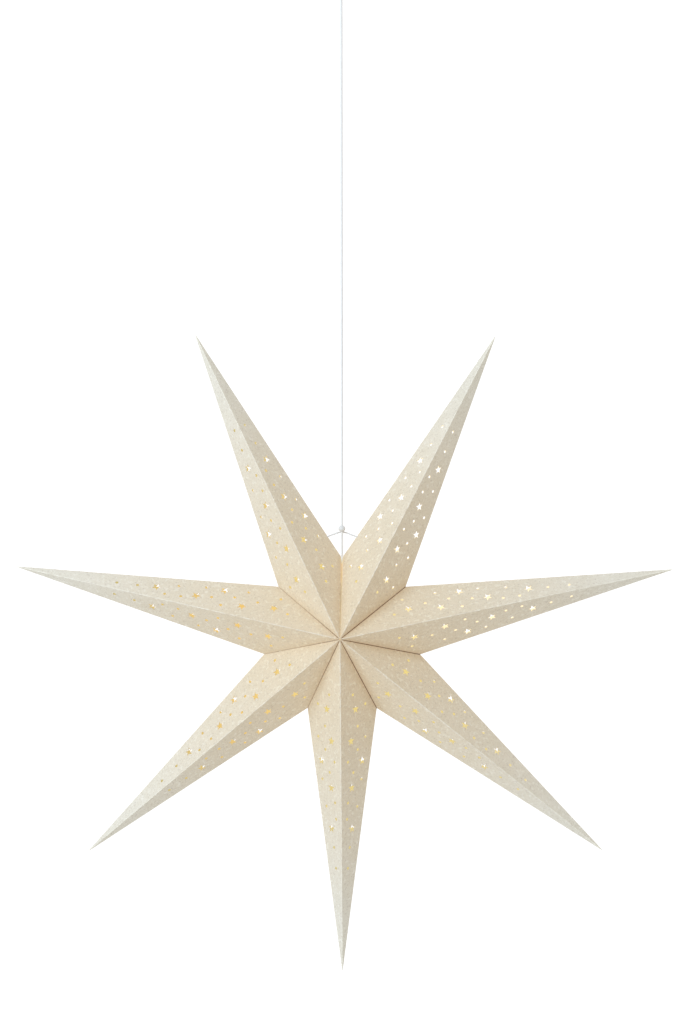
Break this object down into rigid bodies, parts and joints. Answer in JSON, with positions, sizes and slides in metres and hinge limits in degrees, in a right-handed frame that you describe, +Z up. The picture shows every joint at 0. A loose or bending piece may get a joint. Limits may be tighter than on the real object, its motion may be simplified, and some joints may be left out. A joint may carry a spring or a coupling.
{
  "type": "paper star pendant light",
  "caption": "Folded paper star pendant with punched star and dot holes, hanging on a lamp cord from a round ceiling canopy, with a lamp holder and bulb inside.",
  "frame": {"origin": "centre of the mounting bracket's top face, on the ceiling", "axes": "+Z up to the ceiling, -Y is the star's front, +X to the right of someone who looks at the front"},
  "size_m": [0.7611, 0.1116, 1.2185],
  "materials": {
    "paper": "matt cream paper with fine flecks",
    "cord_sheath": "satin white sheath",
    "string": "twisted white string",
    "bead": "smooth white",
    "canopy_white": "moulded satin white",
    "zinc_steel": "zinc plated",
    "block_plastic": "moulded natural plastic",
    "holder_white": "moulded white",
    "ceramic": "unglazed white",
    "brass": "bright",
    "nickel": "nickel plated",
    "black_insulator": "vitreous black",
    "bulb_glass": "clear, warm",
    "filament": "phosphor coated"
  },
  "bodies": {
    "ceiling": {"mounting_bracket": "zinc_steel", "canopy": "canopy_white", "canopy_screws": "zinc_steel", "terminal_block": "block_plastic", "terminal_screws": "zinc_steel", "cord_bush": "canopy_white", "bush_nut": "canopy_white", "cord_tail": "cord_sheath"},
    "hanging_cord": {"cord": "cord_sheath", "holder_cap": "holder_white", "clamp_screw": "zinc_steel", "holder_body": "holder_white", "contact_insert": "ceramic", "screw_shell": "brass", "centre_contact": "brass"},
    "ties": {"tie_bead": "bead", "tie_string": "string"},
    "star": {"arm_1": "paper", "arm_2": "paper", "arm_3": "paper", "arm_4": "paper", "arm_5": "paper", "arm_6": "paper", "arm_7": "paper"},
    "bulb": {"bulb_glass": "bulb_glass", "bulb_stem": "bulb_glass", "filaments": "filament", "bulb_cap": "nickel", "cap_insulator": "black_insulator", "contact_button": "brass"}
  },
  "joints": [
    {"name": "cord_swing", "type": "hinge", "parent": "ceiling", "child": "hanging_cord", "pos_m": [0, 0, -0.059], "axis": [0, 1, 0], "range_deg": [-15, 15]},
    {"name": "star_turn", "type": "hinge", "parent": "hanging_cord", "child": "ties", "pos_m": [0, 0, -0.7052], "axis": [0, 0, 1], "range_deg": [-180, 180]},
    {"name": "star_rock", "type": "hinge", "parent": "ties", "child": "star", "pos_m": [0, 0, -0.71456], "axis": [1, 0, 0], "range_deg": [-4, 4]},
    {"name": "bulb_unscrew", "type": "slide", "parent": "hanging_cord", "child": "bulb", "axis": [0, 0, -1], "range_m": [0, 0.014]}
  ]
}
